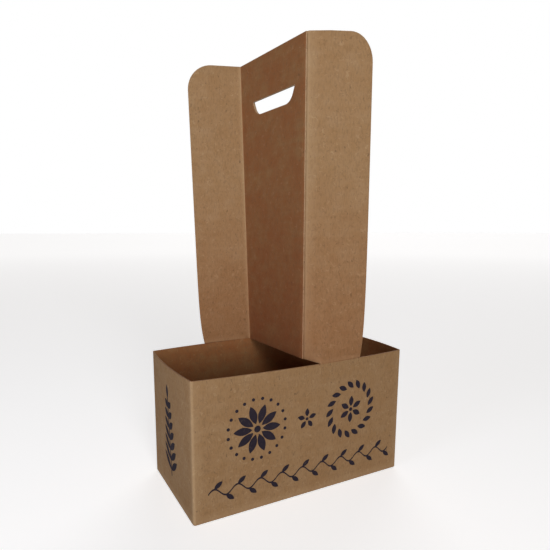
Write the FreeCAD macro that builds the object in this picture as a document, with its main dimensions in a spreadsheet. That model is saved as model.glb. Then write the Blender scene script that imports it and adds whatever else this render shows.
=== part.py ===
"""Two-bottle carrier carton: one die-cut kraft board blank, folded and glued.

Frame: origin at the middle of the bottom, X along the tray, -Y towards the front,
+Z up. Lengths in mm, angles in degrees.

The front wall runs up into the right wing, the back wall into the left wing. Each
wing has a ply that folds in across the tray, and the two plies are glued together
as the divider, which is the handle too. The tray is closed by glued bottom flaps.
"""
import FreeCAD, Part
import math
import os
import Sketcher

V = FreeCAD.Vector

# Driving sizes, each written once
SIZES = [
    ("tray_length", 186.0),
    ("tray_width", 93.4),
    ("tray_height", 105.0),
    ("board", 1.0),
    ("fold_radius", 1.0),
    ("flap_root_ease", 1.2),
    ("foot_fold", 1.0),
    ("front_bow", 4.9),
    ("right_bow", 4.4),
    ("back_bow", 6.4),
    ("left_bow", 3.2),
    ("glue_flap", 14.0),
    ("glue_flap_clear", 2.5),
    ("bottom_flap_inset", 1.6),
    ("bottom_flap_reach", 11.0),
    ("bottom_seam", 0.6),
    ("seam_near", 8.0),
    ("dust_flap", 54.0),
    ("dust_flap_inset", 2.5),
    ("dust_flap_taper", 16.0),
    ("handle_height", 239.0),
    ("wing_width", 46.5),
    ("wing_corner_radius", 21.0),
    ("slit_past_fold", 7.0),
    ("slit_lift", 1.7),
    ("divider_offset", 1.5),
    ("divider_set_back", 7.3),
    ("divider_top_shift", 1.4),
    ("divider_top_set_back", 2.4),
    ("divider_turn", 5.4),
    ("left_ply_short", 1.4),
    ("right_ply_short", 3.0),
    ("right_flare", 26.0),
    ("left_flare", 21.0),
    ("bend_height", 30.0),
    ("flare_ease", 0.12),
    ("slot_width", 59.0),
    ("slot_height", 11.5),
    ("slot_depth", 33.0),
    ("slot_from_front", 14.5),
    ("slot_slant", 5.3),
    ("slot_corner_radius", 10.0),
    ("cutter_reach", 8.0),
]

# Sizes worked out from the driving ones, for the sketches. A bowed side is an arc
# whose centre lies on an axis of the tray.
DERIVED = [
    ("half_length", "=tray_length / 2"),
    ("half_width", "=tray_width / 2"),
    ("outer_radius", "=fold_radius + board"),
    ("foot_height", "=board * 2"),
    ("front_radius", "=(half_length ^ 2 + front_bow ^ 2) / (2 * front_bow)"),
    ("right_radius", "=(half_width ^ 2 + right_bow ^ 2) / (2 * right_bow)"),
    ("back_radius", "=(half_length ^ 2 + back_bow ^ 2) / (2 * back_bow)"),
    ("left_radius", "=(half_width ^ 2 + left_bow ^ 2) / (2 * left_bow)"),
    ("front_centre", "=front_radius - front_bow - half_width"),
    ("right_centre", "=right_bow + half_length - right_radius"),
    ("back_centre", "=back_bow + half_width - back_radius"),
    ("left_centre", "=left_radius - left_bow - half_length"),
    ("flap_root", "=half_length - board * 2 - flap_root_ease"),
    ("flap_end", "=half_length - bottom_flap_inset"),
    ("seam_far", "=seam_near + bottom_flap_reach * 2"),
    ("seam_front", "=bottom_flap_reach - bottom_seam / 2"),
    ("seam_back", "=bottom_flap_reach + bottom_seam / 2"),
    ("dust_foot", "=half_width - dust_flap_inset"),
    ("dust_tip", "=dust_foot - dust_flap_taper"),
    ("dust_reach", "=half_length - dust_flap"),
    ("wall_middle", "=half_width - board / 2"),
    ("end_middle", "=half_length - board / 2"),
]


def make_sheet(document):
    """Write the sizes into the spreadsheet, one alias a row."""
    sheet = document.addObject("Spreadsheet::Sheet", "Sizes")
    rows = [(name, str(value)) for name, value in SIZES] + DERIVED
    for row, (name, text) in enumerate(rows, start=1):
        sheet.set("A%d" % row, name)
        sheet.set("B%d" % row, text)
        sheet.setAlias("B%d" % row, name)
    document.recompute()
    return sheet


def size(sheet, name):
    """Read a size, with a minus sign in front of its name for the other side."""
    if name.startswith("-"):
        return -float(getattr(sheet, name[1:]))
    return float(getattr(sheet, name))


def bound(name):
    """The expression that ties a value to a size."""
    return "-Sizes." + name[1:] if name.startswith("-") else "Sizes." + name


def new_sketch(body, name, level=None):
    """A sketch on the body's XY plane, lifted to a size of the sheet."""
    sketch = body.newObject("Sketcher::SketchObject", name)
    plane = [item for item in body.Origin.OriginFeatures if item.Role == "XY_Plane"][0]
    sketch.AttachmentSupport = [(plane, "")]
    sketch.MapMode = "FlatFace"
    if level:
        sketch.setExpression("AttachmentOffset.Base.z", "Sizes." + level)
    return sketch


def hold(sketch, constraint, expression):
    """Add a constraint and tie its value to the sheet."""
    index = sketch.addConstraint(constraint)
    sketch.setExpression("Constraints[%d]" % index, expression)


def hold_point(sketch, edge, end, axis, value, expression):
    """Hold one coordinate of a point of an edge, measured from the sketch's origin."""
    hold(sketch, Sketcher.Constraint("Distance" + axis, -1, 1, edge, end, value), expression)


def draw_polygon(sketch, corners):
    """A closed outline through corners that are each named by two sizes."""
    sheet = sketch.Document.Sizes
    points = [V(size(sheet, x), size(sheet, y), 0) for x, y in corners]
    count = len(points)
    for side in range(count):
        sketch.addGeometry(Part.LineSegment(points[side], points[(side + 1) % count]), False)
    for side in range(count):
        sketch.addConstraint(Sketcher.Constraint("Coincident", side, 2, (side + 1) % count, 1))
        hold_point(sketch, side, 1, "X", points[side].x, bound(corners[side][0]))
        hold_point(sketch, side, 1, "Y", points[side].y, bound(corners[side][1]))


# Each side of the tray, anticlockwise: its name, outward direction, the axis that
# it faces along, and the size that gives its distance
SIDES = [
    ("front", V(0, -1, 0), "Y", "-half_width"),
    ("right", V(1, 0, 0), "X", "half_length"),
    ("back", V(0, 1, 0), "Y", "half_width"),
    ("left", V(-1, 0, 0), "X", "-half_length"),
]


def draw_tray_outline(sketch, layers_in, bowed):
    """The tray's outline with rounded folds, set in by whole board layers. The sides
    are straight at the foot and arcs at the rim."""
    sheet = sketch.Document.Sizes
    inset = sheet.board * layers_in
    inset_text = "Sizes.board * %d" % layers_in
    radius = max(sheet.outer_radius - inset, sheet.fold_radius)
    radius_text = "max(Sizes.outer_radius - %s; Sizes.fold_radius)" % inset_text
    half = V(sheet.half_length - inset, sheet.half_width - inset, 0)
    corners = [V(-half.x, -half.y, 0), V(half.x, -half.y, 0), half, V(-half.x, half.y, 0)]
    for side, (name, outward, axis, distance) in enumerate(SIDES):
        start, end, following = corners[side], corners[(side + 1) % 4], corners[(side + 2) % 4]
        along = (end - start).normalize()
        turned = (following - end).normalize()
        first, last = start + along * radius, end - along * radius
        if bowed:
            middle = (first + last) / 2 + outward * float(getattr(sheet, name + "_bow"))
            sketch.addGeometry(Part.Arc(first, middle, last), False)
        else:
            sketch.addGeometry(Part.LineSegment(first, last), False)
        bend = end + (turned - along) * radius * (1 - math.sqrt(0.5))
        sketch.addGeometry(Part.Arc(last, bend, end + turned * radius), False)
    for side, (name, outward, axis, distance) in enumerate(SIDES):
        edge, fold, following = 2 * side, 2 * side + 1, (2 * side + 2) % 8
        sketch.addConstraint(Sketcher.Constraint("Tangent", edge, 2, fold, 1))
        sketch.addConstraint(Sketcher.Constraint("Tangent", fold, 2, following, 1))
        hold(sketch, Sketcher.Constraint("Radius", fold, radius), radius_text)
        if bowed:
            side_radius = float(getattr(sheet, name + "_radius"))
            radius_expression = "Sizes.%s_radius - %s" % (name, inset_text)
            hold(sketch, Sketcher.Constraint("Radius", edge, side_radius - inset), radius_expression)
            centre = float(getattr(sheet, name + "_centre"))
            hold_point(sketch, edge, 3, axis, centre, "Sizes.%s_centre" % name)
            sketch.addConstraint(Sketcher.Constraint("PointOnObject", edge, 3, -2 if axis == "Y" else -1))
        else:
            sign = "-" if distance.startswith("-") else ""
            expression = "%s(Sizes.%s - %s)" % (sign, distance.lstrip("-"), inset_text)
            value = size(sheet, distance) - inset * (outward.x + outward.y)
            hold_point(sketch, edge, 1, axis, value, expression)
            level = "Horizontal" if axis == "Y" else "Vertical"
            sketch.addConstraint(Sketcher.Constraint(level, edge))


def make_form(document, name, layers_in, foot_fold=None):
    """A solid block with the tray's outline, straight through the foot's two layers
    and bowed out from there to the rim. The foot's own fold is eased if asked."""
    body = document.addObject("PartDesign::Body", name)
    ground = new_sketch(body, name + "Ground")
    draw_tray_outline(ground, layers_in, False)
    pad = body.newObject("PartDesign::Pad", name + "Pad")
    pad.Profile = ground
    pad.setExpression("Length", "Sizes.foot_height")
    document.recompute()
    if foot_fold:
        easing = body.newObject("PartDesign::Chamfer", name + "FootFold")
        easing.Base = (pad, ground_edges(pad.Shape))
        easing.setExpression("Size", "Sizes." + foot_fold)
    foot = new_sketch(body, name + "Foot", "foot_height")
    draw_tray_outline(foot, layers_in, False)
    rim = new_sketch(body, name + "Rim", "tray_height")
    draw_tray_outline(rim, layers_in, True)
    loft = body.newObject("PartDesign::AdditiveLoft", name + "Loft")
    loft.Profile = foot
    loft.Sections = [rim]
    loft.Ruled = True
    body.Tip = loft
    document.recompute()
    return body


def ground_edges(shape):
    """Names of the edges that lie on the ground."""
    names = []
    for number, edge in enumerate(shape.Edges, start=1):
        if max(abs(vertex.Point.z) for vertex in edge.Vertexes) < 0.001:
            names.append("Edge%d" % number)
    return names


def make_flap(document, name, corners, level=None, turned=False):
    """A bottom flap one board thick, padded up from a size of the sheet, and turned by
    half a turn if it is the one at the other side."""
    body = document.addObject("PartDesign::Body", name)
    outline = new_sketch(body, name + "Outline", level)
    draw_polygon(outline, corners)
    pad = body.newObject("PartDesign::Pad", name + "Pad")
    pad.Profile = outline
    pad.setExpression("Length", "Sizes.board")
    if turned:
        body.Placement = FreeCAD.Placement(V(0, 0, 0), FreeCAD.Rotation(V(0, 0, 1), 180))
    return body


def make_box(document, name, low, high):
    """A box between two corners, each coordinate an expression."""
    box = document.addObject("Part::Box", name)
    for axis, side, start, end in zip("xyz", ("Length", "Width", "Height"), low, high):
        box.setExpression("Placement.Base." + axis, start)
        box.setExpression(side, "(%s) - (%s)" % (end, start))
    return box


def joined(document, kind, name, **parts):
    """A boolean of finished shapes."""
    feature = document.addObject("Part::" + kind, name)
    for slot, value in parts.items():
        setattr(feature, slot, value)
    return feature


def offset_corner(before, corner, after, distance):
    """Where a corner of a bent strip's centre line lies on a line set off to the right
    of it. Either neighbour may be missing at an end of the strip."""
    normals = []
    for start, end in ((before, corner), (corner, after)):
        if start is not None and end is not None:
            normals.append((end - start).normalize().cross(V(0, 0, 1)))
    if len(normals) == 1:
        return corner + normals[0] * distance
    bisector = normals[0] + normals[1]
    return corner + bisector * (2 * distance / bisector.dot(bisector))


def rounded_wire(corners):
    """A closed wire through corners given as (point, radius), where a radius above
    zero rounds the corner."""
    edges = []
    count = len(corners)
    ends = []
    for index, (point, radius) in enumerate(corners):
        if radius <= 0:
            ends.append((point, point))
            continue
        to_last = (corners[index - 1][0] - point).normalize()
        to_next = (corners[(index + 1) % count][0] - point).normalize()
        half_angle = to_last.getAngle(to_next) / 2
        reach = radius / math.tan(half_angle)
        start, end = point + to_last * reach, point + to_next * reach
        inward = (to_last + to_next).normalize()
        middle = point + inward * (radius / math.sin(half_angle) - radius)
        ends.append((start, end))
        edges.append(Part.Arc(start, middle, end).toShape())
    for index in range(count):
        edges.append(Part.makeLine(ends[index][1], ends[(index + 1) % count][0]))
    return Part.Wire(Part.__sortEdges__(edges))


def blend(first, last, share):
    return first + (last - first) * share


def rim_arc(radius, bow, across):
    """How far a bowed rim stands out, at a distance from the middle of its side."""
    return bow - radius + math.sqrt(radius ** 2 - across ** 2)


# Heights of the handle's sections, in bend heights above the rim
LEVELS = [0.0, 0.5, 1.1, 2.2, 4.4]


def handle_levels(sheet):
    """The handle's sections from the rim up, each with its share of the handle's
    height and of the wings' bend. The wings leave the rim's line quickly at first,
    and close a little again near the top."""
    heights = [level * sheet.bend_height for level in LEVELS] + [sheet.handle_height]
    levels = []
    for height in heights:
        rise = height / sheet.handle_height
        bend = 1 - math.exp(-height / sheet.bend_height)
        levels.append((rise, bend * (1 - sheet.flare_ease * rise ** 2), sheet.tray_height + height))
    return levels


def handle_section(sheet, rise, bend, height):
    """One level section of the upper sheet: right wing, two plies, left wing."""
    board, wing = sheet.board, sheet.wing_width
    divider = sheet.tray_width + sheet.back_bow - sheet.divider_set_back
    front, backward = handle_axes(sheet, rise)
    back = front + backward * divider
    rightward = V(backward.y, -backward.x, 0)

    # Right wing: on the bowed rim at the foot, flared towards the front above it
    rim_out = sheet.half_width + rim_arc(sheet.front_radius, sheet.front_bow, wing)
    foot_flare = math.asin((front.y + rim_out) / wing)
    flare = foot_flare + (math.radians(sheet.right_flare) - foot_flare) * bend
    right_tip = front + V(math.cos(flare), -math.sin(flare), 0) * wing
    knee_x = front.x + sheet.slit_past_fold
    knee_out = rim_arc(sheet.front_radius, sheet.front_bow, knee_x)
    knee_foot = V(knee_x, -sheet.half_width - knee_out, height)
    knee_reach = math.hypot(knee_x - front.x, knee_foot.y - front.y) / wing
    knee = blend(knee_foot, blend(front, right_tip, knee_reach), bend)

    # Left wing: the same at the back, flared away from the tray
    back_out = sheet.half_width + rim_arc(sheet.back_radius, sheet.back_bow, wing)
    foot_flare = math.asin((back_out - back.y) / wing)
    flare = foot_flare + (math.radians(sheet.left_flare) - foot_flare) * bend
    left_tip = back + V(-math.cos(flare), math.sin(flare), 0) * wing

    # Outer face of each sheet as a line, then the same line set in by the board
    right_inner = [
        offset_corner(None, right_tip, knee, board),
        offset_corner(right_tip, knee, front, board),
        offset_corner(knee, front, back, board),
    ]
    left_inner = [
        offset_corner(front, back, left_tip, -board),
        offset_corner(back, left_tip, None, -board),
    ]
    left_ply_end = front + backward * sheet.left_ply_short
    right_ply_end = back - backward * (sheet.right_ply_short + board)
    outer, inner = sheet.outer_radius, sheet.fold_radius
    wire = rounded_wire([
        (right_tip, 0),
        (knee, 0),
        (front, outer),
        (left_ply_end, 0),
        (left_ply_end - rightward * board, 0),
        (left_inner[0], inner),
        (left_inner[1], 0),
        (left_tip, 0),
        (back, outer),
        (right_ply_end, 0),
        (right_ply_end + rightward * board, 0),
        (right_inner[2], inner),
        (right_inner[1], 0),
        (right_inner[0], 0),
    ])
    return wire, (right_tip, front), (left_tip, back)


def handle_axes(sheet, rise):
    """The front fold of the divider at a share of the handle's height, and the level
    direction from it to the back fold."""
    front = V(
        sheet.divider_offset + sheet.divider_top_shift * rise,
        sheet.divider_set_back - sheet.half_width + sheet.divider_top_set_back * rise,
        sheet.tray_height + sheet.handle_height * rise,
    )
    turn = math.radians(sheet.divider_turn) * rise
    return front, V(-math.sin(turn), math.cos(turn), 0)


def slab(wire, thickness):
    """A flat outline given a thickness to both sides."""
    face = Part.Face(wire)
    normal = face.normalAt(0, 0)
    face.translate(normal * (-thickness / 2))
    return face.extrude(normal * thickness)


def corner_cutter(corner, inward, down, radius, margin):
    """What a rounded corner of that radius leaves over, cut square through the board."""
    wire = rounded_wire([
        (corner - inward * margin - down * margin, 0),
        (corner + inward * (radius + margin) - down * margin, 0),
        (corner + inward * (radius + margin), 0),
        (corner, radius),
        (corner + down * (radius + margin), 0),
        (corner - inward * margin + down * (radius + margin), 0),
    ])
    return slab(wire, 2 * margin)


def slot_cutter(sheet, margin):
    """The hand slot: a straight top edge with sharp ends, and a rounded, shorter foot."""
    middle_rise = 1 - (sheet.slot_depth + sheet.slot_height / 2) / sheet.handle_height
    front, backward = handle_axes(sheet, middle_rise)
    up = V(0, 0, 1)
    top = front + backward * sheet.slot_from_front + up * (sheet.slot_height / 2)
    foot = top - up * sheet.slot_height
    wire = rounded_wire([
        (top, 0),
        (top + backward * sheet.slot_width, 0),
        (foot + backward * (sheet.slot_width - sheet.slot_slant), sheet.slot_corner_radius),
        (foot + backward * sheet.slot_slant, sheet.slot_corner_radius),
    ])
    return slab(wire, 2 * margin)


def slit_cutter(sheet, margin):
    """The slit that frees the divider from the front rim opens as a thin wedge."""
    front, backward = handle_axes(sheet, 0)
    divider = sheet.tray_width + sheet.back_bow - sheet.divider_set_back
    side = -sheet.divider_offset - margin
    apex = V(side, (front + backward * (divider - sheet.board)).y, sheet.tray_height)
    mouth_y = -sheet.half_width - sheet.front_bow - margin
    lift = sheet.slit_lift * (apex.y - mouth_y) / (apex.y - front.y)
    mouth = V(side, mouth_y, sheet.tray_height)
    wedge = Part.Face(Part.makePolygon([apex, mouth, mouth + V(0, 0, lift), apex]))
    return wedge.extrude(V(front.x + sheet.slit_past_fold - side, 0, 0))


def feature(document, name, shape):
    """A finished shape as an object of the document."""
    item = document.addObject("Part::Feature", name)
    item.Shape = shape
    return item


# The two long bottom flaps meet at a stepped seam, each longer at one end
FRONT_FLAP = [
    ("-flap_end", "-wall_middle"),
    ("flap_end", "-wall_middle"),
    ("flap_end", "-seam_back"),
    ("seam_far", "-seam_back"),
    ("seam_near", "seam_front"),
    ("-flap_end", "seam_front"),
]

BACK_FLAP = [
    ("flap_end", "wall_middle"),
    ("-flap_end", "wall_middle"),
    ("-flap_end", "seam_back"),
    ("seam_near", "seam_back"),
    ("seam_far", "-seam_front"),
    ("flap_end", "-seam_front"),
]

# The end walls' flaps lie on top of them, glued down, and narrow to their tips
DUST_FLAP = [
    ("-end_middle", "-dust_foot"),
    ("-dust_reach", "-dust_tip"),
    ("-dust_reach", "dust_tip"),
    ("-end_middle", "dust_foot"),
]


def make_tray(document):
    """The tray's walls with the glue flap inside the back wall's right end."""
    outside = make_form(document, "Outside", 0, "foot_fold")
    inside = make_form(document, "Inside", 1)
    flap_space = make_form(document, "FlapSpace", 2)
    low = ("Sizes.flap_root - Sizes.glue_flap", "0", "Sizes.glue_flap_clear")
    back = "Sizes.half_width + Sizes.back_bow"
    high = ("Sizes.flap_root", back, "Sizes.tray_height - Sizes.glue_flap_clear")
    flap_box = make_box(document, "FlapBox", low, high)
    strip = joined(document, "Cut", "GlueFlapStrip", Base=flap_box, Tool=flap_space)
    hollow = joined(document, "Cut", "TrayHollow", Base=inside, Tool=strip)
    return joined(document, "Cut", "TrayWalls", Base=outside, Tool=hollow)


def make_bottom(document):
    """The four glued flaps of the bottom."""
    return [
        make_flap(document, "FrontFlap", FRONT_FLAP),
        make_flap(document, "BackFlap", BACK_FLAP),
        make_flap(document, "LeftFlap", DUST_FLAP, "board"),
        make_flap(document, "RightFlap", DUST_FLAP, "board", True),
    ]


def make_handle(document, sheet):
    """The wings and the two plies of the divider, and what is cut out of them."""
    levels = [handle_section(sheet, *level) for level in handle_levels(sheet)]
    shape = Part.makeLoft([section[0] for section in levels], True, True)
    reach = sheet.cutter_reach
    cutters = [slot_cutter(sheet, reach), slit_cutter(sheet, reach)]
    for side in (1, 2):
        corner, fold = levels[-1][side]
        below = levels[-2][side][0]
        down = (below - corner).normalize()
        inward = (fold - corner).normalize()
        cutters.append(corner_cutter(corner, inward, down, sheet.wing_corner_radius, reach))
    handle = feature(document, "Handle", shape)
    cut_outs = feature(document, "CutOuts", Part.makeCompound(cutters))
    return handle, cut_outs


def checked(document, item):
    """The finished shape, once every feature has built and it is one valid solid."""
    for each in document.Objects:
        if "Invalid" in each.State or "Error" in each.State:
            raise RuntimeError("%s did not build" % each.Name)
    shape = item.Shape
    if shape.isNull() or not shape.isValid() or len(shape.Solids) != 1:
        raise RuntimeError("%s is not one valid solid" % item.Label)
    return shape


document = FreeCAD.newDocument("carrier")
sheet = make_sheet(document)
walls = make_tray(document)
flaps = make_bottom(document)
document.recompute()
handle, cut_outs = make_handle(document, sheet)
glued = joined(document, "MultiFuse", "Glued", Shapes=[walls] + flaps + [handle])
carton = joined(document, "Cut", "FoldedCarton", Base=glued, Tool=cut_outs)
carton.Label = "folded_carton"
document.recompute()
finished = checked(document, carton)
os.makedirs("parts", exist_ok=True)
finished.exportStep("parts/%s.step" % carton.Label)
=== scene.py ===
# %% [markdown]
# # A folded bottle carrier
# The object is one blank of brown kraft board, die-cut, folded and glued. It is a low
# open tray with a tall divider that serves as the handle, and a flared wing on each
# side of it. This lesson dresses the measured solid: the same sheet, with rounded
# folds, pale cut edges, fibres in the board, and a little print.

# %% Load the measured solid
import math

import bpy
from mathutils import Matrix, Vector


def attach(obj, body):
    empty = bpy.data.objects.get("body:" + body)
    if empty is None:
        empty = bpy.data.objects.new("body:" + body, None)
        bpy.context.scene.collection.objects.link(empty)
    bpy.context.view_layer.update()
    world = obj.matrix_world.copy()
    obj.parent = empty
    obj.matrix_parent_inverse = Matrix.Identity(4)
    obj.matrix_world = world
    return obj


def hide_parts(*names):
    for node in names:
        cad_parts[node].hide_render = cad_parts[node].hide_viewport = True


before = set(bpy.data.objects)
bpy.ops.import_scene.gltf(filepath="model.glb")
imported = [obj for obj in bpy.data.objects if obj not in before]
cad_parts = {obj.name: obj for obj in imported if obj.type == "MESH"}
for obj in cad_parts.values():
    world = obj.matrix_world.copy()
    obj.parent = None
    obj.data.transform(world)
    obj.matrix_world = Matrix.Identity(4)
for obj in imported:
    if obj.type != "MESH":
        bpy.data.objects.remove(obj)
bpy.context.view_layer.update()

# %% [markdown]
# ## Sizes
# A folded carton is easiest to think about in millimetres, and a mesh is written in
# metres. So every size below is in millimetres, and one factor turns it to metres
# when a vertex is placed. The sizes are the ones the solid was drawn with. The last
# three numbers are the places of a sheet's materials: its face, its back and its cut
# edge.

# %% Sizes of the carton, in millimetres
MM = 0.001
BOARD = 1.0
HALF_LENGTH, HALF_WIDTH, RIM = 93.0, 46.7, 105.0
FOOT = 2.0 * BOARD
FOLD_OUTER = 2.0
BOW = {"front": 4.9, "right": 4.4, "back": 6.4, "left": 3.16}
HANDLE, WING, WING_CORNER = 239.0, 46.5, 21.0
KNEE, SLIT_LIFT = 7.0, 1.7
BEND_HEIGHT, FLARE_EASE = 30.0, 0.12
RIGHT_FLARE, LEFT_FLARE = math.radians(25.7), math.radians(21.0)
DIVIDER_OFFSET, DIVIDER_SHIFT = 1.5, 1.4
SET_BACK, TOP_SET_BACK = 7.3, 2.4
DIVIDER_TURN = math.radians(5.4)
RIGHT_PLY_SHORT, LEFT_PLY_SHORT = 3.0, 1.4
FACE, BACK, CUT = 0, 1, 2
UP = Vector((0, 0, 1))

# %% [markdown]
# ## Bowed walls
# The tray's walls are straight where they are folded to the bottom, and spring out to
# a shallow curve at the rim. Each rim curve is an arc through the two corners, so its
# radius follows from the length of the side and how far its middle stands out.

# %% How far each wall stands out
def arc_radius(half_side, bow):
    return (half_side ** 2 + bow ** 2) / (2 * bow)


def rim_out(side, across):
    """How far the rim stands out of the straight foot, at a distance from the middle."""
    half_side = HALF_LENGTH if side in ("front", "back") else HALF_WIDTH
    radius = arc_radius(half_side, BOW[side])
    return BOW[side] - radius + math.sqrt(radius ** 2 - across ** 2)


def wall_point(side, across, height, lift=0.0):
    """A point on the outer face of a wall, lifted off it by a little."""
    share = max(0.0, (height - FOOT) / (RIM - FOOT))
    out = rim_out(side, across) * share + lift
    if side == "front":
        return Vector((across, -HALF_WIDTH - out, height))
    if side == "back":
        return Vector((across, HALF_WIDTH + out, height))
    if side == "left":
        return Vector((-HALF_LENGTH - out, across, height))
    return Vector((HALF_LENGTH + out, across, height))


print("front rim stands out by", round(rim_out("front", 0.0), 2), "mm at its middle")

# %% [markdown]
# ## Kraft board
# Unbleached board is brown with a fine tangle of fibres, some darker and some paler,
# cloudy tones from millimetres to centimetres wide, and faint level streaks. Here and
# there lies a short curled strand. All of it is made by noise on object coordinates, so
# it keeps its real scale. An attribute called fold marks where the sheet was creased:
# the fibres there are rubbed paler, and the same paler band paints the highlight of the
# rounded fold. Slight dents and the grain raise the surface. The foot of the wings and
# of the divider is painted a little darker and redder than their top: painted shade,
# tinted like warm light bounced off the board.

# %% Materials
def link(tree, source, target):
    tree.links.new(source, target)


def noise(tree, coordinates, scale, detail, stretch=(1, 1, 1), roughness=0.5):
    mapping = tree.nodes.new("ShaderNodeMapping")
    mapping.inputs["Scale"].default_value = stretch
    link(tree, coordinates, mapping.inputs["Vector"])
    texture = tree.nodes.new("ShaderNodeTexNoise")
    texture.inputs["Scale"].default_value = scale
    texture.inputs["Detail"].default_value = detail
    texture.inputs["Roughness"].default_value = roughness
    link(tree, mapping.outputs["Vector"], texture.inputs["Vector"])
    return texture.outputs["Fac"]


def between(tree, value, low, high, top=1.0):
    """Stretches the part of a noise from low to high over the range from 0 to top."""
    node = tree.nodes.new("ShaderNodeMapRange")
    node.inputs["From Min"].default_value = low
    node.inputs["From Max"].default_value = high
    node.inputs["To Max"].default_value = top
    link(tree, value, node.inputs["Value"])
    return node.outputs["Result"]


def maths(tree, operation, first, second=None):
    """One maths operation on one or two values, each a number or another node's output."""
    node = tree.nodes.new("ShaderNodeMath")
    node.operation = operation
    for socket, value in zip(node.inputs, (first, second)):
        if isinstance(value, (int, float)):
            socket.default_value = value
        elif value is not None:
            link(tree, value, socket)
    return node.outputs["Value"]


def strands(tree, where, scale, wide, sparse, top):
    """Short curled lines: a contour of one noise, kept only where another is high."""
    contour = noise(tree, where, scale, 1)
    off_line = maths(tree, "ABSOLUTE", maths(tree, "SUBTRACT", contour, 0.5))
    line = between(tree, off_line, wide, 0.0, top)
    kept = between(tree, noise(tree, where, scale * 1.6, 0), sparse, sparse + 0.05)
    return maths(tree, "MULTIPLY", line, kept)


def tint(tree, share, below, colour, blend="MIX"):
    """Lays a colour over what is below it, by a share."""
    node = tree.nodes.new("ShaderNodeMix")
    node.data_type = "RGBA"
    node.blend_type = blend
    link(tree, share, node.inputs["Factor"])
    if isinstance(below, tuple):
        node.inputs["A"].default_value = below
    else:
        link(tree, below, node.inputs["A"])
    node.inputs["B"].default_value = colour
    return node.outputs["Result"]


def foot_shade_share(tree, where):
    """Painted shade: 1 just above the rim, where the wings and the divider start, 0 halfway up.
    """
    parts = tree.nodes.new("ShaderNodeSeparateXYZ")
    link(tree, where, parts.inputs["Vector"])
    above = between(tree, parts.outputs["Z"], RIM_EDGE * MM, RIM * MM)
    low = between(tree, parts.outputs["Z"], FOOT_SHADE_END * MM, FOOT_SHADE_FULL * MM)
    return maths(tree, "MULTIPLY", above, low)


def raised(tree, height, strength, distance, below=None):
    """A bump from a noise, on top of another bump if there is one."""
    node = tree.nodes.new("ShaderNodeBump")
    node.inputs["Strength"].default_value = strength
    node.inputs["Distance"].default_value = distance
    link(tree, height, node.inputs["Height"])
    if below:
        link(tree, below, node.inputs["Normal"])
    return node.outputs["Normal"]


def board_material(name, base, cloud, dark, pale, fold=None, layers=False):
    """Board of a base colour. fold rubs its creases paler and paints their highlight, layers
    draws its cut plies.
    """
    material = bpy.data.materials.new(name)
    material.use_nodes = True
    tree = material.node_tree
    shader = tree.nodes["Principled BSDF"]
    where = tree.nodes.new("ShaderNodeTexCoord").outputs["Object"]
    blotches = noise(tree, where, 42, 3)
    clouds = noise(tree, where, 120, 3)
    streaks = noise(tree, where, 110, 2, (0.2, 0.2, 3.0))
    grain = noise(tree, where, 900, 2, (1, 1, 0.35))
    flecks = noise(tree, where, 1500, 2, (1, 1, 0.45), 0.6)
    threads = noise(tree, where, 1150, 2, (0.5, 0.5, 1.0), 0.6)
    specks = noise(tree, where, 520, 1, (1, 1, 0.6))
    shares = [
        (between(tree, blotches, 0.40, 0.64, 0.55), cloud),
        (between(tree, clouds, 0.38, 0.65, 0.50), cloud),
        (between(tree, streaks, 0.42, 0.68, 0.35), cloud),
        (between(tree, grain, 0.46, 0.70, 0.26), dark),
        (between(tree, flecks, 0.63, 0.72, 0.40), dark),
        (between(tree, threads, 0.64, 0.73, 0.24), pale),
        (strands(tree, where, 170, 0.032, 0.60, 0.28), pale),
        (strands(tree, where, 215, 0.036, 0.62, 0.36), dark),
        (between(tree, specks, 0.72, 0.77, 0.60), dark),
    ]
    # Creases: fibres rubbed paler, which also paints the highlight of the rounded fold.
    if fold:
        attribute = tree.nodes.new("ShaderNodeAttribute")
        attribute.attribute_name = "fold"
        shares.append((between(tree, attribute.outputs["Fac"], 0.0, 1.0, fold), pale))
    if layers:
        shares.append((between(tree, noise(tree, where, 2600, 1), 0.5, 0.65, 0.4), dark))
    colour = base
    for share, laid in shares:
        colour = tint(tree, share, colour, laid)
    # Painted shade: the foot of the wings and the divider is darkened and reddened, standing in
    # for shade and warm bounced light.
    colour = tint(tree, foot_shade_share(tree, where), colour, FOOT_SHADE, "MULTIPLY")
    link(tree, colour, shader.inputs["Base Color"])
    rough = between(tree, clouds, 0.3, 0.7)
    rough.node.inputs["To Min"].default_value = 0.78
    rough.node.inputs["To Max"].default_value = 0.92
    link(tree, rough, shader.inputs["Roughness"])
    shader.inputs["Specular IOR Level"].default_value = 0.25
    dents = noise(tree, where, 60, 3, (0.7, 0.7, 1.3))
    normal = raised(tree, dents, 0.30, 0.0012)
    normal = raised(tree, grain, 0.22, 0.0001, normal)
    link(tree, normal, shader.inputs["Normal"])
    return material


# Painted shade at the foot of the wings and the divider: its tint, the height where it is full,
# the height where it ends, and the height just under the rim below which there is none.
FOOT_SHADE, FOOT_SHADE_FULL, FOOT_SHADE_END, RIM_EDGE = (0.90, 0.76, 0.70, 1), 130.0, 250.0, 104.6
DARK_FIBRE = (0.135, 0.075, 0.038, 1)
PALE_FIBRE = (0.520, 0.355, 0.200, 1)
RED_FIBRE = (0.420, 0.245, 0.120, 1)
OUTER = board_material(
    "kraft_outer", (0.340, 0.205, 0.099, 1), (0.300, 0.166, 0.071, 1), DARK_FIBRE,
    PALE_FIBRE, 0.34)
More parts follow.
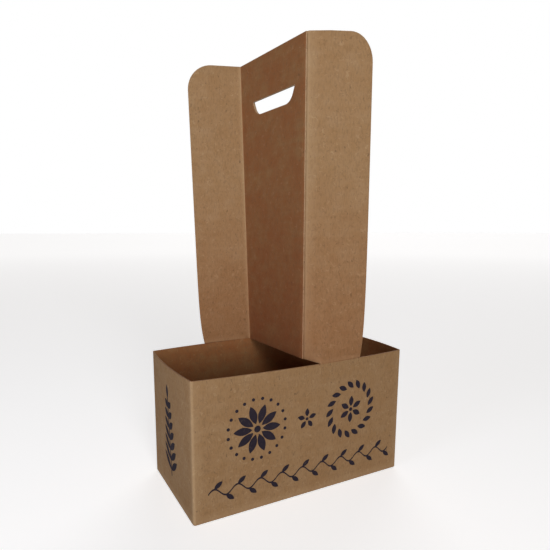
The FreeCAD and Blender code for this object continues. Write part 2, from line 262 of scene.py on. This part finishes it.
# The board's back: a darker, redder copy of the face, painted shade for the divider and the
# tray's inside.
SHADED_BACK = board_material(
    "kraft_back_painted_shade", (0.277, 0.134, 0.050, 1), (0.262, 0.090, 0.028, 1), DARK_FIBRE,
    RED_FIBRE, 0.42)
EDGE = board_material(
    "cut_edge", (0.520, 0.350, 0.205, 1), (0.440, 0.285, 0.160, 1), DARK_FIBRE, PALE_FIBRE,
    layers=True)
INK = board_material(
    "dark_ink", (0.016, 0.011, 0.020, 1), (0.026, 0.018, 0.028, 1), (0.010, 0.007, 0.012, 1),
    (0.110, 0.075, 0.055, 1))
print("materials:", [material.name for material in (OUTER, SHADED_BACK, EDGE, INK)])

# %% [markdown]
# ## From a flat grid to a folded sheet
# Board is a sheet, so every part of it starts as a grid. Its columns go along the
# folded section and its rows go up, and each vertex is put where the folded sheet is.
# Solidify then gives the grid the board's thickness, with one material for the face,
# one for the back and one for the cut edge, and a fine bevel takes the knife-sharp
# look off the edges.

# %% Helpers for sheets
def only(piece):
    """Select one piece alone, so that an operator acts on nothing else."""
    if bpy.context.object and bpy.context.object.mode != "OBJECT":
        bpy.ops.object.mode_set(mode="OBJECT")
    bpy.ops.object.select_all(action="DESELECT")
    piece.select_set(True)
    bpy.context.view_layer.objects.active = piece


def in_edit_mode(piece, *steps):
    """Runs each operator on the whole mesh of one piece."""
    only(piece)
    bpy.ops.object.mode_set(mode="EDIT")
    for step in steps:
        bpy.ops.mesh.select_all(action="SELECT")
        step()
    bpy.ops.object.mode_set(mode="OBJECT")


def face_outward():
    bpy.ops.mesh.normals_make_consistent(inside=False)


def pull(by):
    """An operator that pulls a flat outline through, to make it a block."""
    return lambda: bpy.ops.mesh.extrude_region_move(TRANSFORM_OT_translate={"value": tuple(by)})


def give_board(piece):
    for material in (OUTER, SHADED_BACK, EDGE):
        piece.data.materials.append(material)


def filled_outline(name, points):
    """A flat face with its corners at these points."""
    bpy.ops.object.select_all(action="DESELECT")
    bpy.ops.mesh.primitive_circle_add(vertices=len(points), fill_type="NGON")
    piece = bpy.context.object
    piece.name = piece.data.name = name
    for vertex, point in zip(piece.data.vertices, points):
        vertex.co = point * MM
    give_board(piece)
    return piece


def apply_all(piece):
    only(piece)
    for modifier in list(piece.modifiers):
        bpy.ops.object.modifier_apply(modifier=modifier.name)


def sheet_from(name, columns, rows, place, fold_of, flip=False):
    """A grid whose vertices are placed by column and row."""
    bpy.ops.object.select_all(action="DESELECT")
    bpy.ops.mesh.primitive_grid_add(x_subdivisions=columns, y_subdivisions=rows, size=1)
    piece = bpy.context.object
    piece.name = piece.data.name = name
    fold = piece.data.attributes.new("fold", "FLOAT", "POINT")
    for vertex in piece.data.vertices:
        column = round((vertex.co.x + 0.5) * columns)
        row = round((vertex.co.y + 0.5) * rows)
        vertex.co = place(column, row) * MM
        fold.data[vertex.index].value = fold_of(column, row)
    if flip:
        in_edit_mode(piece, bpy.ops.mesh.flip_normals)
    give_board(piece)
    return piece


def thicken(piece, even=True):
    """Gives a grid the board's thickness, inwards from its outer face."""
    solid = piece.modifiers.new("board", "SOLIDIFY")
    solid.thickness = BOARD * MM
    solid.offset = -1
    solid.use_even_offset = even
    solid.material_offset = BACK
    solid.material_offset_rim = CUT
    apply_all(piece)


def soften(piece, width=0.14):
    """Crushes the sharp edges a little, and smooths the folds and bends."""
    bevel = piece.modifiers.new("edge", "BEVEL")
    bevel.width = width * MM
    bevel.segments = 2
    bevel.limit_method = "ANGLE"
    bevel.angle_limit = math.radians(55)
    bevel.material = CUT
    apply_all(piece)
    bpy.ops.object.shade_smooth_by_angle(angle=math.radians(32))


def finish_piece(piece):
    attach(piece, "root")
    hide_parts("folded_carton")
    print(piece.name, len(piece.data.polygons), "faces")


# %% [markdown]
# ## The tray's wall
# All four walls are one strip of the blank. It starts at the cut end of the back wall,
# goes round the tray, and ends as the flap that is glued inside the back wall. The
# strip's line is worked out once at the foot and once at the rim, and the rows between
# are straight from one to the other, as a stiff board is.

# %% The strip's line round the tray
def fillet(centre_a, radius_a, centre_b, radius_b, near, radius):
    """Centre of a fold that touches two arcs from inside, near a corner."""
    reach_a, reach_b = radius_a - radius, radius_b - radius
    apart = centre_b - centre_a
    along = (reach_a ** 2 - reach_b ** 2 + apart.length_squared) / (2 * apart.length)
    across = math.sqrt(max(0.0, reach_a ** 2 - along ** 2))
    base = centre_a + apart.normalized() * along
    side = Vector((-apart.y, apart.x, 0)).normalized() * across
    return min((base + side, base - side), key=lambda point: (point - near).length)


STRAIGHT = 40000.0
SIDES = {"front": (Vector((0, -1, 0)), HALF_LENGTH, HALF_WIDTH),
         "right": (Vector((1, 0, 0)), HALF_WIDTH, HALF_LENGTH),
         "back": (Vector((0, 1, 0)), HALF_LENGTH, HALF_WIDTH),
         "left": (Vector((-1, 0, 0)), HALF_WIDTH, HALF_LENGTH)}


def side_circle(side, bowed, inset):
    """Centre and radius of a side's line. A straight side is a very large circle."""
    outward, half_side, reach = SIDES[side]
    if bowed:
        radius = arc_radius(half_side, BOW[side])
        return outward * (reach + BOW[side] - radius), radius - inset
    return outward * (reach - STRAIGHT), STRAIGHT - inset


def on_circle(circle, toward):
    centre, radius = circle
    return centre + (toward - centre).normalized() * radius


WALL_STEPS, FOLD_STEPS, FLAP_STEPS = 28, 6, 6
FLAP_INSET, FLAP_EDGE, CUT_END = BOARD * 1.02, 75.8, HALF_LENGTH - 0.5
ORDER = ["back", "left", "front", "right", "flap"]
CORNERS = [Vector((-HALF_LENGTH, HALF_WIDTH, 0)), Vector((-HALF_LENGTH, -HALF_WIDTH, 0)),
           Vector((HALF_LENGTH, -HALF_WIDTH, 0)), Vector((HALF_LENGTH, HALF_WIDTH, 0))]


def strip_line(bowed):
    """Points of the strip's outer face, with the side that each one is on."""
    circles = [side_circle(side, bowed, 0.0) for side in ORDER[:-1]]
    circles.append(side_circle("back", bowed, FLAP_INSET))
    folds = [fillet(*circles[index], *circles[index + 1], CORNERS[index], FOLD_OUTER)
             for index in range(4)]
    start = on_circle(circles[0], Vector((CUT_END, HALF_WIDTH, 0)))
    points = []
    for index, side in enumerate(ORDER):
        circle = circles[index]
        if side == "flap":
            end = on_circle(circle, Vector((FLAP_EDGE, HALF_WIDTH, 0)))
            steps = FLAP_STEPS
        else:
            end = on_circle(circle, folds[index])
            steps = WALL_STEPS
        for step in range(steps + 1):
            points.append((on_circle(circle, start.lerp(end, step / steps)), side))
        if side == "flap":
            break
        following = on_circle(circles[index + 1], folds[index])
        first = (end - folds[index]).normalized()
        last = (following - folds[index]).normalized()
        for step in range(1, FOLD_STEPS):
            turned = first.slerp(last, step / FOLD_STEPS)
            points.append((folds[index] + turned * FOLD_OUTER, "fold"))
        start = following
    return points


foot_line, rim_line = strip_line(False), strip_line(True)
print("strip has", len(foot_line), "columns")

# %% [markdown]
# At the foot the sheet curls under to its bottom flaps, so the lowest rows go inwards
# as they go down. The glued flap is cut a little short at its top and bottom. A very
# slight ripple keeps the wall from looking like sheet metal.

# %% The tray's wall as a mesh
FOOT_ROWS = [(0.0, 1.0), (0.12, 0.5), (0.5, 0.12), (1.0, 0.0)]
RISE_ROWS = 18
FLAP_CLEAR, FLAP_RISE = 2.5, 0.2
RIPPLE, RIPPLE_ALONG, RIPPLE_UP = 0.10, 0.11, 0.05


def foot_inward(column):
    before = foot_line[max(0, column - 1)][0]
    after = foot_line[min(len(foot_line) - 1, column + 1)][0]
    along = (after - before).normalized()
    return UP.cross(along)


def wall_vertex(column, row):
    on_flap = foot_line[column][1] == "flap"
    if row < len(FOOT_ROWS):
        height, inset = FOOT_ROWS[row]
        if on_flap:
            return foot_line[column][0] + UP * (FLAP_CLEAR + height * FLAP_RISE / 2)
        return foot_line[column][0] + foot_inward(column) * inset + UP * height
    share = (row - len(FOOT_ROWS)) / RISE_ROWS
    top = RIM - FLAP_CLEAR if on_flap and column > len(foot_line) - FLAP_STEPS else RIM
    bottom = FLAP_CLEAR + FLAP_RISE if on_flap else FOOT
    height = bottom + (top - bottom) * share
    rise = (height - FOOT) / (RIM - FOOT)
    point = foot_line[column][0].lerp(rim_line[column][0], rise)
    if on_flap:
        return point + UP * height
    ripple = RIPPLE * math.sin(point.x * RIPPLE_ALONG + point.z * RIPPLE_UP)
    return point + foot_inward(column) * abs(ripple * math.sin(math.pi * share)) + UP * height


def wall_fold(column, row):
    near = min(abs(column - other) for other in range(len(foot_line))
               if foot_line[other][1] == "fold")
    at_foot = 0.6 if row < len(FOOT_ROWS) + 1 else 0.0
    return max(at_foot, {0: 1.0, 1: 0.5}.get(near, 0.0))


tray_wall = sheet_from("tray_wall", len(foot_line) - 1, len(FOOT_ROWS) + RISE_ROWS,
                       wall_vertex, wall_fold)
thicken(tray_wall, even=False)
soften(tray_wall)
finish_piece(tray_wall)

# %% [markdown]
# ## The bottom
# Four flaps close the bottom. The two long ones meet at a stepped seam and show from
# below. The two end flaps narrow to their tips and lie on top, inside the tray. Each is
# a flat outline, filled, and pulled up by the board's thickness.

# %% Flat flaps
def flat_piece(name, outline, level):
    piece = filled_outline(name, [Vector((x, y, level)) for x, y in outline])
    in_edit_mode(piece, pull(UP * BOARD * MM), face_outward)
    for face in piece.data.polygons:
        upright = abs(face.normal.z) < 0.5
        face.material_index = CUT if upright else (BACK if face.normal.z > 0 else FACE)
    soften(piece, 0.12)
    finish_piece(piece)


FLAP_END, FLAP_FOOT = HALF_LENGTH - 1.6, HALF_WIDTH - 1.0
FRONT_SEAM, BACK_SEAM, SEAM_NEAR, SEAM_FAR = 10.98, 11.02, 8.0, 30.0
flat_piece("front_bottom_flap", [
    (-FLAP_END, -FLAP_FOOT), (FLAP_END, -FLAP_FOOT), (FLAP_END, -BACK_SEAM),
    (SEAM_FAR, -BACK_SEAM), (SEAM_NEAR, FRONT_SEAM), (-FLAP_END, FRONT_SEAM)], 0.0)
flat_piece("back_bottom_flap", [
    (FLAP_END, FLAP_FOOT), (-FLAP_END, FLAP_FOOT), (-FLAP_END, BACK_SEAM),
    (SEAM_NEAR, BACK_SEAM), (SEAM_FAR, -FRONT_SEAM), (FLAP_END, -FRONT_SEAM)], 0.0)
DUST_TIP, DUST_FOOT, DUST_HALF_TIP, DUST_HALF_FOOT = 39.0, 91.9, 28.2, 44.2
for side, name in ((-1, "left_end_flap"), (1, "right_end_flap")):
    flat_piece(name, [
        (side * DUST_FOOT, -DUST_HALF_FOOT), (side * DUST_TIP, -DUST_HALF_TIP),
        (side * DUST_TIP, DUST_HALF_TIP), (side * DUST_FOOT, DUST_HALF_FOOT)], BOARD)

# %% [markdown]
# ## The divider and its wings
# Two sheets make the upper part. Each is a wing, one fold, and a ply that lies across
# the tray, and the two plies are glued face to face. The wings grow out of the rim, so
# they start on its curve and flare away from it over the first few centimetres.

# %% The folds and tips at any height above the rim
DIVIDER = 2 * HALF_WIDTH + BOW["back"] - SET_BACK


def bend_at(height):
    """How much of its full flare a wing has reached."""
    rise = height / HANDLE
    return (1 - math.exp(-height / BEND_HEIGHT)) * (1 - FLARE_EASE * rise ** 2)


def divider_axes(height):
    """The divider's front fold at a height, and the way it goes back from there."""
    rise = height / HANDLE
    front = Vector((DIVIDER_OFFSET + DIVIDER_SHIFT * rise,
                    SET_BACK - HALF_WIDTH + TOP_SET_BACK * rise, RIM + height))
    turn = DIVIDER_TURN * rise
    return front, Vector((-math.sin(turn), math.cos(turn), 0))


def right_line(height):
    """Tip, knee, fold and ply end of the right sheet's outer face."""
    front, backward = divider_axes(height)
    bend = bend_at(height)
    out = HALF_WIDTH + rim_out("front", WING)
    start = math.asin((front.y + out) / WING)
    flare = start + (RIGHT_FLARE - start) * bend
    tip = front + Vector((math.cos(flare), -math.sin(flare), 0)) * WING
    knee_x = front.x + KNEE
    knee_foot = Vector((knee_x, -HALF_WIDTH - rim_out("front", knee_x), RIM + height))
    reach = math.hypot(KNEE, knee_foot.y - front.y) / WING
    knee = knee_foot.lerp(front.lerp(tip, reach), bend)
    return tip, knee, front, front + backward * (DIVIDER - RIGHT_PLY_SHORT - BOARD)


def left_line(height):
    """The same for the left sheet, which folds at the back."""
    front, backward = divider_axes(height)
    back = front + backward * DIVIDER
    out = HALF_WIDTH + rim_out("back", WING)
    start = math.asin((out - back.y) / WING)
    flare = start + (LEFT_FLARE - start) * bend_at(height)
    tip = back + Vector((-math.cos(flare), math.sin(flare), 0)) * WING
    knee = back.lerp(tip, KNEE / WING)
    return tip, knee, back, front + backward * LEFT_PLY_SHORT


print("right fold leans", [round(v, 1) for v in right_line(HANDLE)[2] - right_line(0)[2]])

# %% [markdown]
# The columns crowd together towards the tip, where the wing's top corner is a quarter
# circle. Each column then ends at its own height, and the corner needs no cutting.

# %% The two sheets
TIP_STEPS, WING_STEPS, PLY_STEPS, SHEET_ROWS = 12, 10, 16, 40
ROOT_STEPS, ROW_EASE, TOP_CLEAR = 2, 1.35, 0.04


def section_columns():
    """Each column as its leg and its share along it."""
    columns = [("wing", WING_CORNER * (1 - math.cos(math.pi / 2 * step / TIP_STEPS)) / WING)
               for step in range(TIP_STEPS + 1)]
    knee_share = 1 - KNEE / WING
    corner_share = WING_CORNER / WING
    columns += [("wing", corner_share + (knee_share - corner_share) * step / WING_STEPS)
                for step in range(1, WING_STEPS + 1)]
    columns += [("root", step / ROOT_STEPS) for step in range(1, ROOT_STEPS + 1)]
    columns += [("fold", step / FOLD_STEPS) for step in range(1, FOLD_STEPS)]
    columns += [("ply", step / PLY_STEPS) for step in range(PLY_STEPS + 1)]
    return columns


COLUMNS = section_columns()


def section_point(line, height, leg, share):
    """A point of the folded section at a height, on one leg of it."""
    tip, knee, fold, end = line(height)
    to_knee, to_end = (knee - fold).normalized(), (end - fold).normalized()
    half = to_knee.angle(to_end) / 2
    reach = FOLD_OUTER / math.tan(half)
    fold_in, fold_out = fold + to_knee * reach, fold + to_end * reach
    if leg == "wing":
        return tip.lerp(knee, min(1.0, share / (1 - KNEE / WING)))
    if leg == "root":
        return knee.lerp(fold_in, share)
    if leg == "ply":
        return fold_out.lerp(end, share)
    centre = fold + (to_knee + to_end).normalized() * (FOLD_OUTER / math.sin(half))
    first, last = (fold_in - centre).normalized(), (fold_out - centre).normalized()
    return centre + first.slerp(last, share) * FOLD_OUTER


def sheet_foot(is_right, leg, share):
    """The slit under the divider opens as a thin wedge, widest at the front."""
    lift = SLIT_LIFT if is_right else 0.0
    if leg == "wing":
        return 0.0
    if leg == "root":
        return lift * share
    if leg == "fold":
        return lift
    return lift * (1 - share) if is_right else SLIT_LIFT * share * 0.97


def handle_sheet(name, line, is_right):
    def place(column, row):
        leg, share = COLUMNS[column]
        top = HANDLE - TOP_CLEAR
        short = WING_CORNER - share * WING
        if leg == "wing" and short > 0:
            top -= WING_CORNER - math.sqrt(max(0.0, WING_CORNER ** 2 - short ** 2))
        foot = sheet_foot(is_right, leg, share)
        height = foot + (top - foot) * (row / SHEET_ROWS) ** ROW_EASE
        return section_point(line, height, leg, share)

    def fold_of(column, row):
        leg, share = COLUMNS[column]
        if leg == "fold":
            return 1.0
        if leg == "root" and share > 0.6:
            return 0.6
        return 0.55 if row < 2 and leg == "wing" else 0.0

    piece = sheet_from(name, len(COLUMNS) - 1, SHEET_ROWS, place, fold_of, flip=True)
    thicken(piece)
    return piece


right_sheet = handle_sheet("right_wing_sheet", right_line, True)
left_sheet = handle_sheet("left_wing_sheet", left_line, False)

# %% [markdown]
# Where a wing grows out of the wall there is no cut edge, only a soft bend. So after
# the edges are softened, the faces along that joint get the board's own material. The
# front of the left wing is the board's back too, but it takes the face's unshaded colour,
# while the divider and the tray's inside keep the darker, redder back, which is painted shade.

# %% Faces along the joints
JOINT = 0.6
FRONT_JOINT, BACK_JOINT = (8.0, 47.5), (-47.0, 0.0)
WING_FRONT = 0.6


def uncut(piece, where, slot):
    """Gives the board's own material to the cut-edge faces at a place."""
    for face in piece.data.polygons:
        centre = face.center / MM
        if face.material_index == CUT and where(centre):
            face.material_index = slot


def at_wing_foot(centre):
    low, high = FRONT_JOINT if centre.y < 0 else BACK_JOINT
    return abs(centre.z - RIM) < JOINT and low < centre.x < high


uncut(tray_wall, at_wing_foot, BACK)

# %% [markdown]
# ## The hand slot
# One cut goes through both plies. It is drawn as a flat outline with sharp ends at the
# top and rounded corners at the foot, pulled through the board, and taken out of both
# sheets with a boolean. Its walls get the cut-edge material.

# %% Cut the hand slot
SLOT_WIDTH, SLOT_HEIGHT, SLOT_DEPTH, SLOT_FRONT = 59.0, 11.5, 33.0, 14.5
SLOT_SLANT, SLOT_CORNER, CORNER_STEPS, CUTTER_REACH = 5.3, 10.0, 8, 8.0


def slot_outline():
    """Corners of the slot as (back, up) from its front top corner."""
    points = [(0.0, 0.0), (SLOT_WIDTH, 0.0)]
    top_front, top_back = (Vector((*point, 0)) for point in points)
    low_front = Vector((SLOT_SLANT, -SLOT_HEIGHT, 0))
    low_back = Vector((SLOT_WIDTH - SLOT_SLANT, -SLOT_HEIGHT, 0))
    for corner, before, after in ((low_back, top_back, low_front),
                                  (low_front, low_back, top_front)):
        to_last, to_next = (before - corner).normalized(), (after - corner).normalized()
        half = to_last.angle(to_next) / 2
        centre = corner + (to_last + to_next).normalized() * (SLOT_CORNER / math.sin(half))
        first = (corner + to_last * SLOT_CORNER / math.tan(half) - centre).normalized()
        last = (corner + to_next * SLOT_CORNER / math.tan(half) - centre).normalized()
        for step in range(CORNER_STEPS + 1):
            point = centre + first.slerp(last, step / CORNER_STEPS) * SLOT_CORNER
            points.append((point.x, point.y))
    return points


front, backward = divider_axes(HANDLE - SLOT_DEPTH - SLOT_HEIGHT / 2)
through = Vector((backward.y, -backward.x, 0))
corner = front + backward * SLOT_FRONT + UP * (SLOT_HEIGHT / 2)
cutter = filled_outline("slot_cutter", [
    corner + backward * back + UP * up - through * CUTTER_REACH for back, up in slot_outline()])
in_edit_mode(cutter, pull(through * 2 * CUTTER_REACH * MM), face_outward)
for face in cutter.data.polygons:
    face.material_index = CUT
for piece, own in ((right_sheet, FACE), (left_sheet, BACK)):
    cut = piece.modifiers.new("slot", "BOOLEAN")
    cut.operation = "DIFFERENCE"
    cut.solver = "EXACT"
    cut.object = cutter
    apply_all(piece)
    soften(piece)
    uncut(piece, at_wing_foot, own)
    # The left wing's front takes the face's unshaded colour; the rest of the back keeps the
    # painted shade.
    if piece is left_sheet:
        for face in piece.data.polygons:
            if face.material_index == BACK and abs(face.normal.y) > WING_FRONT:
                face.material_index = FACE
    finish_piece(piece)
only(cutter)
bpy.ops.object.delete()

# %% [markdown]
# ## Print
# The front and left walls carry a little dark ink. Here it is plain ornament: leaves,
# dots and a waving stem. Each shape is a thin patch that follows the bowed wall, so it
# bends with the board, and its rim sinks into it.

# %% Ink shapes that follow a wall
INK_LIFT = 0.05
patches = {"front": [], "left": []}


def patch(side, rungs):
    """A shape as rungs: pairs of points across it, from one end to the other."""
    patches[side].append(rungs)


def disc(x, z, radius, steps=14):
    """A round dot, with its two ends cut off by a hair."""
    rungs = []
    for step in range(steps + 1):
        angle = math.pi * (0.02 + 0.96 * step / steps)
        along, across = -radius * math.cos(angle), radius * math.sin(angle)
        rungs.append(((x + along, z - across), (x + along, z + across)))
    return rungs


def leaf(x, z, length, width, angle, steps=10):
    """A pointed leaf whose stalk is at x, z."""
    cosine, sine = math.cos(angle), math.sin(angle)
    rungs = []
    for step in range(steps + 1):
        along = length * step / steps
        across = max(0.06, width / 2 * math.sin(math.pi * step / steps) ** 0.8)
        rungs.append(tuple((x + cosine * along - sine * side, z + sine * along + cosine * side)
                           for side in (-across, across)))
    return rungs


def wave(x, z, length, swing, thick, turns, steps_a_turn=14):
    """A level line that swings up and down."""
    rungs = []
    for step in range(steps_a_turn * turns + 1):
        share = step / (steps_a_turn * turns)
        along, height = x + length * share, z + swing * math.sin(math.tau * turns * share)
        rungs.append(((along, height - thick / 2), (along, height + thick / 2)))
    return rungs


def stem(x, low, high, wide, steps=20):
    """An upright bar."""
    heights = [low + (high - low) * step / steps for step in range(steps + 1)]
    return [((x + wide / 2, height), (x - wide / 2, height)) for height in heights]


# %% [markdown]
# A running vine goes along the foot of the front wall, under a large flower in a ring
# of dots and a wreath round a small flower. The left wall has a leafy sprig. A flower
# is one leaf copied round a centre, so one helper makes them all.

# %% Lay out the ornament
def flower(side, x, z, petals, gap, length, width, turn=0.0):
    for step in range(petals):
        angle = math.tau * step / petals + turn
        patch(side, leaf(x + gap * math.cos(angle), z + gap * math.sin(angle),
                         length, width, angle))
    patch(side, disc(x, z, gap * 0.62))


def dot_ring(side, x, z, radius, count, size):
    for step in range(count):
        angle = math.tau * (step + 0.5) / count
        patch(side, disc(x + radius * math.cos(angle), z + radius * math.sin(angle), size))


def wreath(side, x, z, radius, count, length, width):
    for step in range(count):
        angle = math.tau * step / count
        patch(side, leaf(x + radius * math.cos(angle), z + radius * math.sin(angle),
                         length, width, angle + 0.9))


def vine(side, low, high, z, swing, turns, length, width):
    """A wavy stem with a leaf growing from each crest and each trough."""
    patch(side, wave(low, z, high - low, swing, 1.3, turns))
    for step in range(2 * turns):
        x = low + (high - low) * (step + 0.5) / (2 * turns)
        up = 1 if step % 2 == 0 else -1
        patch(side, leaf(x, z + up * swing, length, width, up * math.radians(38)))


flower("front", -44, 63, 10, 4.2, 14.5, 6.0)
dot_ring("front", -44, 63, 23, 20, 1.25)
wreath("front", 40, 63, 18, 17, 8.5, 4.1)
flower("front", 40, 63, 6, 2.6, 8.5, 4.4, 0.5)
flower("front", -2, 63, 5, 2.0, 6.5, 3.6, math.pi / 2)
vine("front", -82, 82, 21, 3.0, 9, 8.0, 3.6)

patch("left", stem(0, 16, 80, 1.4))
for index in range(7):
    height, length = 21 + 8.5 * index, 18 - 1.6 * index
    for angle in (38, 142):
        patch("left", leaf(0, height, length, 5.2, math.radians(angle)))
patch("left", leaf(0, 79, 11, 4.6, math.radians(90)))


# %% Make the ink of each wall
def print_piece(name, side):
    """All shapes of one wall as one mesh, with a lifted face and a sunk back."""
    bpy.ops.object.select_all(action="DESELECT")
    bpy.ops.mesh.primitive_plane_add(size=MM)
    piece = bpy.context.object
    piece.name = piece.data.name = name
    vertices, faces = [], []
    for rungs in patches[side]:
        first, count = len(vertices), len(rungs)
        for rung in rungs:
            for lift in (INK_LIFT, -INK_LIFT):
                vertices += [wall_point(side, x, z, lift) * MM for x, z in rung]
        for step in range(count - 1):
            a, b = first + 4 * step, first + 4 * step + 4
            faces += [(a, b, b + 1, a + 1), (a + 2, a + 3, b + 3, b + 2),
                      (a, a + 2, b + 2, b), (a + 1, b + 1, b + 3, a + 3)]
        last = first + 4 * (count - 1)
        faces += [(first, first + 1, first + 3, first + 2), (last, last + 2, last + 3, last + 1)]
    piece.data.clear_geometry()
    piece.data.from_pydata(vertices, [], faces)
    in_edit_mode(piece, face_outward)
    piece.data.materials.append(INK)
    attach(piece, "root")
    print(name, len(patches[side]), "shapes")


print_piece("front_print", "front")
print_piece("left_print", "left")

# %% [markdown]
# ## Floor, light and camera
# The floor is plain and pale, and the light is soft: one wide sun low in front, a wider
# one from behind for the far sides, a small lamp high in front, a cool one low at the
# left, and a dim, warm sky. A sun lights the floor evenly. To the camera the floor also
# glows a little, and more so far away, where it runs into the white background.

# %% Floor and sky
bpy.ops.object.select_all(action="DESELECT")
bpy.ops.mesh.primitive_plane_add(size=60, location=(0, 0, -0.0002))
floor = bpy.context.object
floor.name = "floor"
paper = bpy.data.materials.new("pale_floor")
paper.use_nodes = True
tree = paper.node_tree
shade = tree.nodes["Principled BSDF"]
shade.inputs["Base Color"].default_value = (0.86, 0.86, 0.86, 1)
shade.inputs["Roughness"].default_value = 0.9
glow = tree.nodes.new("ShaderNodeEmission")
place = tree.nodes.new("ShaderNodeTexCoord").outputs["Object"]
away = tree.nodes.new("ShaderNodeVectorMath")
away.operation = "LENGTH"
link(tree, place, away.inputs[0])
fade = between(tree, away.outputs["Value"], 0.4, 4.0, 0.72)
fade.node.inputs["To Min"].default_value = 0.57
link(tree, fade, glow.inputs["Strength"])
seen_floor = tree.nodes.new("ShaderNodeLightPath")
only_seen = tree.nodes.new("ShaderNodeMixShader")
added = tree.nodes.new("ShaderNodeAddShader")
link(tree, shade.outputs["BSDF"], added.inputs[0])
link(tree, glow.outputs["Emission"], added.inputs[1])
link(tree, seen_floor.outputs["Is Camera Ray"], only_seen.inputs["Fac"])
link(tree, shade.outputs["BSDF"], only_seen.inputs[1])
link(tree, added.outputs["Shader"], only_seen.inputs[2])
link(tree, only_seen.outputs["Shader"], tree.nodes["Material Output"].inputs["Surface"])
floor.data.materials.append(paper)

world = bpy.data.worlds.new("sky")
bpy.context.scene.world = world
world.use_nodes = True
tree = world.node_tree
sky = tree.nodes["Background"]
sky.inputs["Color"].default_value = (1.0, 0.82, 0.74, 1)
sky.inputs["Strength"].default_value = 0.07
seen = tree.nodes.new("ShaderNodeBackground")
seen.inputs["Color"].default_value = (1, 1, 1, 1)
seen.inputs["Strength"].default_value = 1.0
rays = tree.nodes.new("ShaderNodeLightPath")
mix = tree.nodes.new("ShaderNodeMixShader")
link(tree, rays.outputs["Is Camera Ray"], mix.inputs["Fac"])
link(tree, sky.outputs["Background"], mix.inputs[1])
link(tree, seen.outputs["Background"], mix.inputs[2])
link(tree, mix.outputs["Shader"], tree.nodes["World Output"].inputs["Surface"])


# %% Lamps
def lamp(kind, name, position, aim, strength, size, colour=(1, 1, 1)):
    """A lamp that shines from a place towards another. A sun's size is an angle."""
    bpy.ops.object.light_add(type=kind, location=position)
    light = bpy.context.object
    light.name = name
    light.data.energy = strength
    light.data.color = colour
    if kind == "SUN":
        light.data.angle = math.radians(size)
    else:
        light.data.size = size
    direction = Vector(aim) - Vector(position)
    light.rotation_euler = direction.to_track_quat("-Z", "Y").to_euler()


lamp("SUN", "key", (-0.22, -1.60, 0.40), (0, 0, 0.15), 1.24, 22)
lamp("SUN", "back_light", (1.05, 1.35, 0.62), (0, 0, 0.15), 1.25, 50)
lamp("AREA", "upper_fill", (-0.24, -0.62, 0.58), (0, 0, 0.34), 1.55, 0.3)
lamp("AREA", "left_fill", (-1.10, -0.25, 0.14), (0, 0, 0.10), 4.5, 0.4,
     (0.90, 0.98, 1.14))

# %% Camera
bpy.ops.object.camera_add(
    location=(-0.1957, -0.3413, 0.2050),
    rotation=(math.radians(90 - 8.295), 0, math.radians(-27.73)))
camera = bpy.context.object
camera.data.lens = 31.454
camera.data.sensor_width = 36
camera.data.shift_x = 0.0273
camera.data.shift_y = 0.0455
camera.data.clip_start = 0.01
bpy.context.scene.camera = camera
bpy.context.scene.view_settings.view_transform = "Standard"
